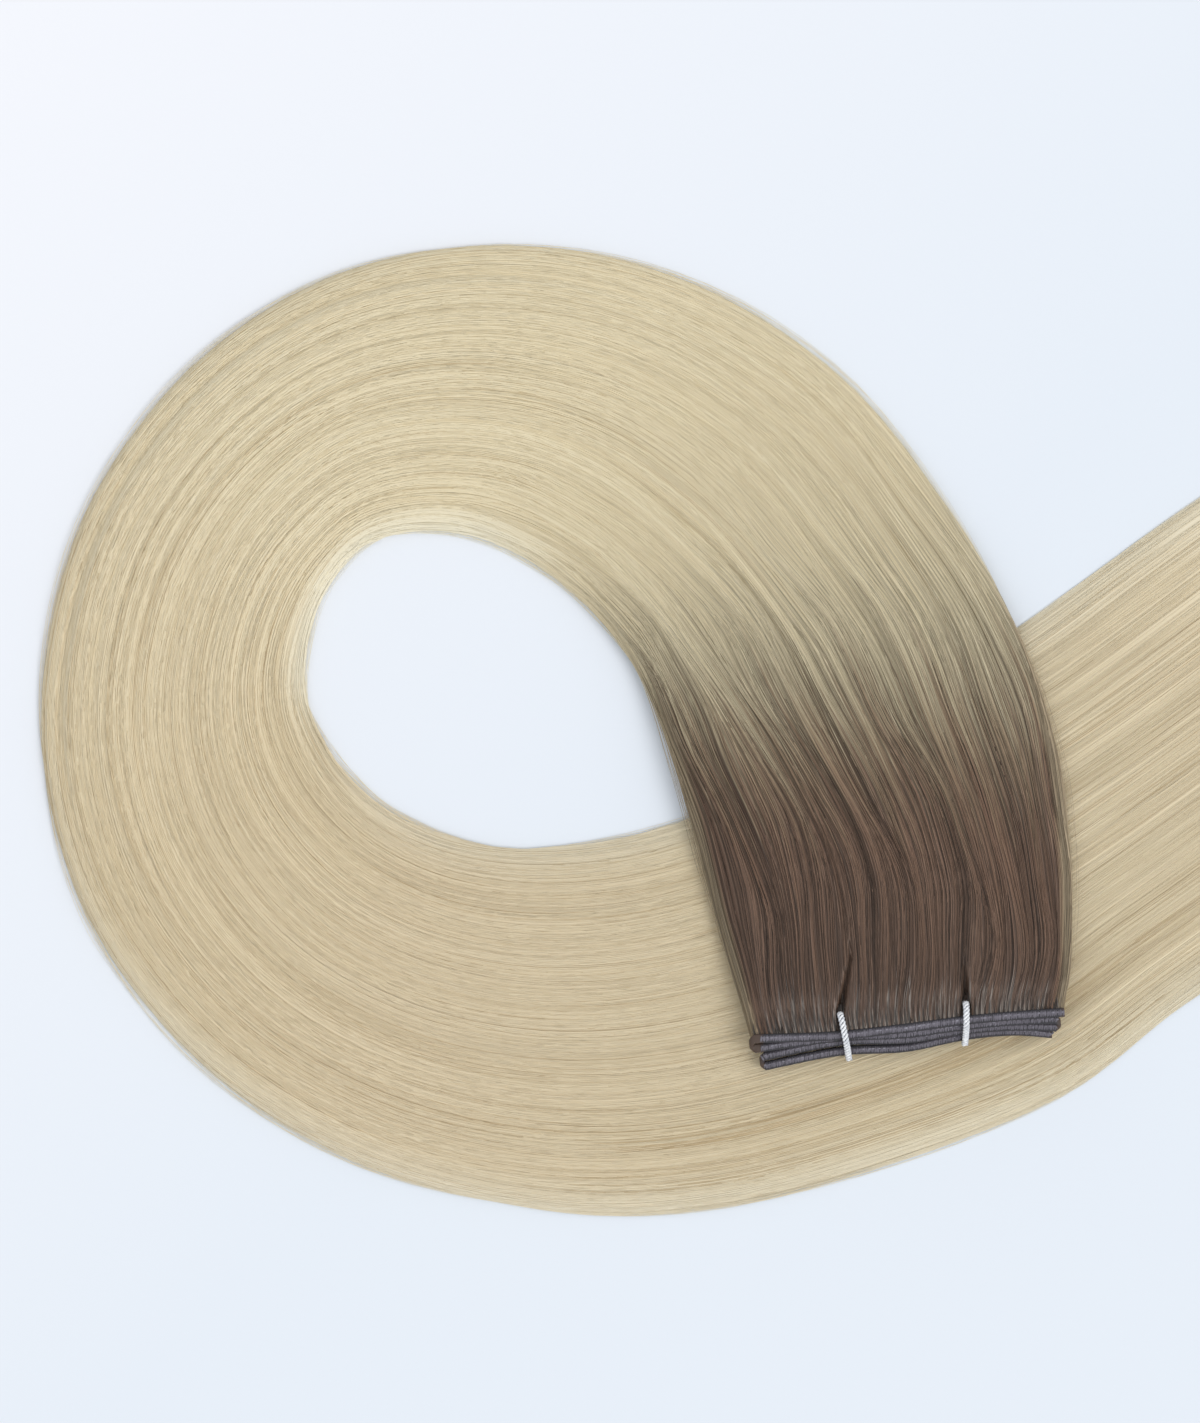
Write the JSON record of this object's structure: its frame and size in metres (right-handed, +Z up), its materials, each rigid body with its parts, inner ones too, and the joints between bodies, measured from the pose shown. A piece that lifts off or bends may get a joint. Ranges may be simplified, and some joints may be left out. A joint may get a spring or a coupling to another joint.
{
  "type": "hair weft",
  "caption": "Straight hair sewn to a narrow band that is folded in layers and tied with thread, laid flat in one loose loop; dark roots fade to pale blond.",
  "frame": {"origin": "middle of the footprint, on the surface that the weft lies on", "axes": "+Z up, +X towards the free tips, +Y from the band towards the loop"},
  "size_m": [0.2832, 0.1834, 0.01],
  "materials": {
    "hair": "smooth straight hair with a soft sheen, ash brown at the band and pale blond from there on",
    "band": "charcoal thread stitched densely over the hair's roots",
    "thread": "white twisted thread with a slight sparkle"
  },
  "bodies": {
    "root": {"hair": "hair", "weft_band": "band", "tie_left": "thread", "tie_right": "thread"}
  },
  "joints": []
}
